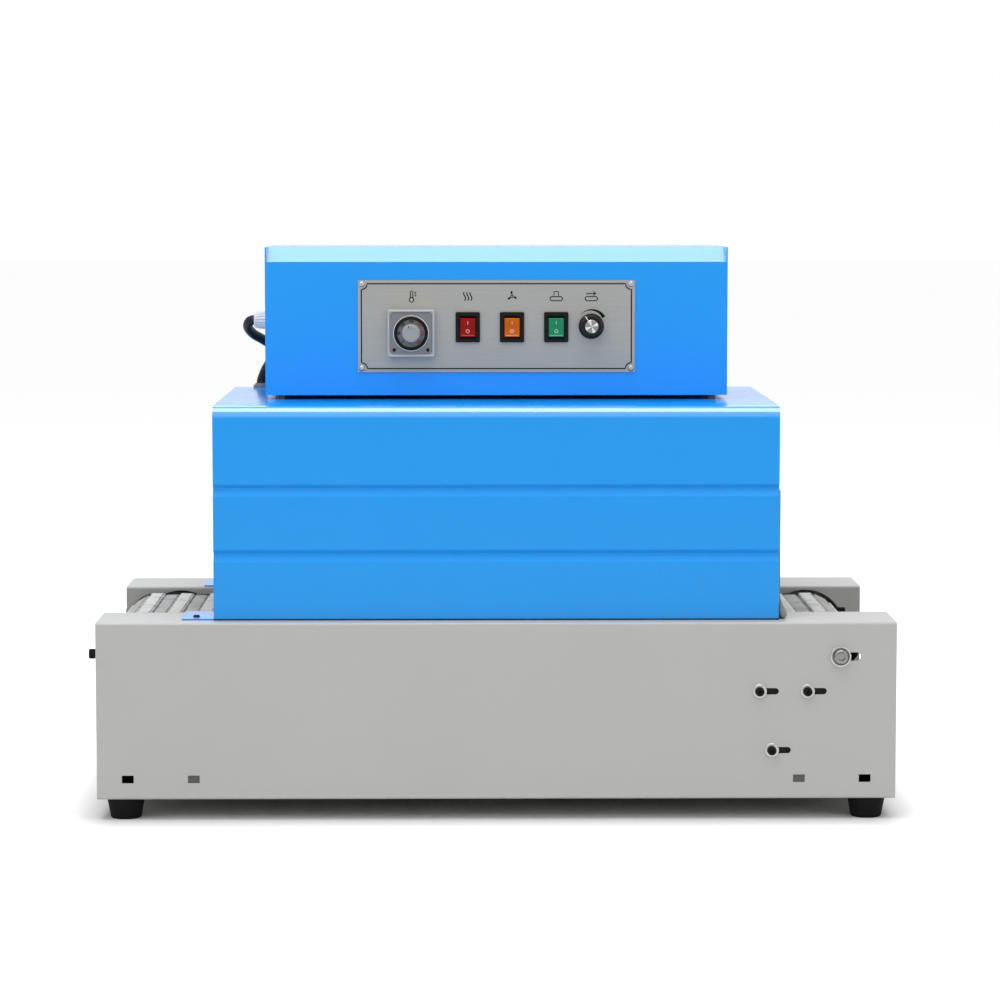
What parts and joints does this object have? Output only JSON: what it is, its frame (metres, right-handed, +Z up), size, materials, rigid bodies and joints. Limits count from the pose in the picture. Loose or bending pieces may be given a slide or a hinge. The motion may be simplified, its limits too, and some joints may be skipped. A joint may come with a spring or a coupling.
{
  "type": "heat shrink tunnel",
  "caption": "Bench heat shrink tunnel with a sleeved rod conveyor belt, blue grooved hood and a control box on top with switches, a speed knob and a temperature dial.",
  "frame": {"origin": "floor level under the middle of the machine, half way between the front tension screw head and the drive end", "axes": "+X along the belt towards the drive end, +Y away from the control side, +Z up"},
  "size_m": [0.8094, 0.4132, 0.5705],
  "materials": {
    "rail_paint": "grey stove enamel, satin",
    "hood_paint": "blue stove enamel, semi-gloss",
    "foot_rubber": "matte",
    "sleeve_cloth": "woven glass sleeve",
    "strip_cloth": "heavy woven heat cloth",
    "chain_steel": "oiled steel",
    "zinc_screws": "bright zinc",
    "black_screws": "black oxide",
    "liner_steel": "bright sheet",
    "plate_aluminium": "brushed",
    "controller_plastic": "fine satin",
    "black_plastic": "satin",
    "red_lens": "gloss",
    "orange_lens": "gloss",
    "green_lens": "gloss",
    "gland_nylon": "satin",
    "cable_rubber": "satin",
    "bushing_rubber": "matte"
  },
  "bodies": {
    "machine": {"front_rail": "rail_paint", "rear_rail": "rail_paint", "cross_member_left": "rail_paint", "cross_member_right": "rail_paint", "bottom_cover": "rail_paint", "hood_skin": "hood_paint", "hood_left_end": "hood_paint", "hood_right_end": "hood_paint", "box_shell": "hood_paint", "box_left_cheek": "hood_paint", "box_right_cheek": "hood_paint", "box_floor": "hood_paint", "rubber_feet": "foot_rubber", "belt_rods": "sleeve_cloth", "exit_cloths": "strip_cloth", "front_chain": "chain_steel", "rear_chain": "chain_steel", "drive_shaft": "chain_steel", "idler_shaft": "chain_steel", "drive_sprockets": "chain_steel", "idler_sprockets": "chain_steel", "idler_blocks": "chain_steel", "shaft_bolts": "zinc_screws", "motor_screws": "zinc_screws", "box_spacers": "zinc_screws", "plate_screws": "zinc_screws", "tension_screws": "black_screws", "tab_screws": "black_screws", "motor_plate": "black_screws", "liner_ceiling": "liner_steel", "liner_front_wall": "liner_steel", "liner_rear_wall": "liner_steel", "control_plate": "plate_aluminium", "temp_controller": "controller_plastic", "red_switch": "black_plastic", "orange_switch": "black_plastic", "green_switch": "black_plastic", "cable_gland": "gland_nylon", "cable": "cable_rubber", "cable_bushing": "bushing_rubber"},
    "temp_dial": {"temp_dial": "controller_plastic"},
    "speed_knob": {"speed_knob": "black_plastic", "knob_cap": "plate_aluminium"},
    "red_rocker": {"red_rocker": "red_lens"},
    "orange_rocker": {"orange_rocker": "orange_lens"},
    "green_rocker": {"green_rocker": "green_lens"}
  },
  "joints": [
    {"name": "temp_dial_turn", "type": "hinge", "parent": "machine", "child": "temp_dial", "pos_m": [-0.08185, -0.0672, 0.4825], "axis": [0, -1, 0], "range_deg": [-140, 140]},
    {"name": "speed_knob_turn", "type": "hinge", "parent": "machine", "child": "speed_knob", "pos_m": [0.10355, -0.0672, 0.4895], "axis": [0, -1, 0], "range_deg": [-140, 140]},
    {"name": "red_rocker_tilt", "type": "hinge", "parent": "machine", "child": "red_rocker", "pos_m": [-0.02355, -0.0676, 0.4885], "axis": [-1, 0, 0], "range_deg": [0, 14]},
    {"name": "orange_rocker_tilt", "type": "hinge", "parent": "machine", "child": "orange_rocker", "pos_m": [0.02195, -0.0676, 0.4885], "axis": [-1, 0, 0], "range_deg": [0, 14]},
    {"name": "green_rocker_tilt", "type": "hinge", "parent": "machine", "child": "green_rocker", "pos_m": [0.06745, -0.0676, 0.4885], "axis": [-1, 0, 0], "range_deg": [0, 14]}
  ]
}
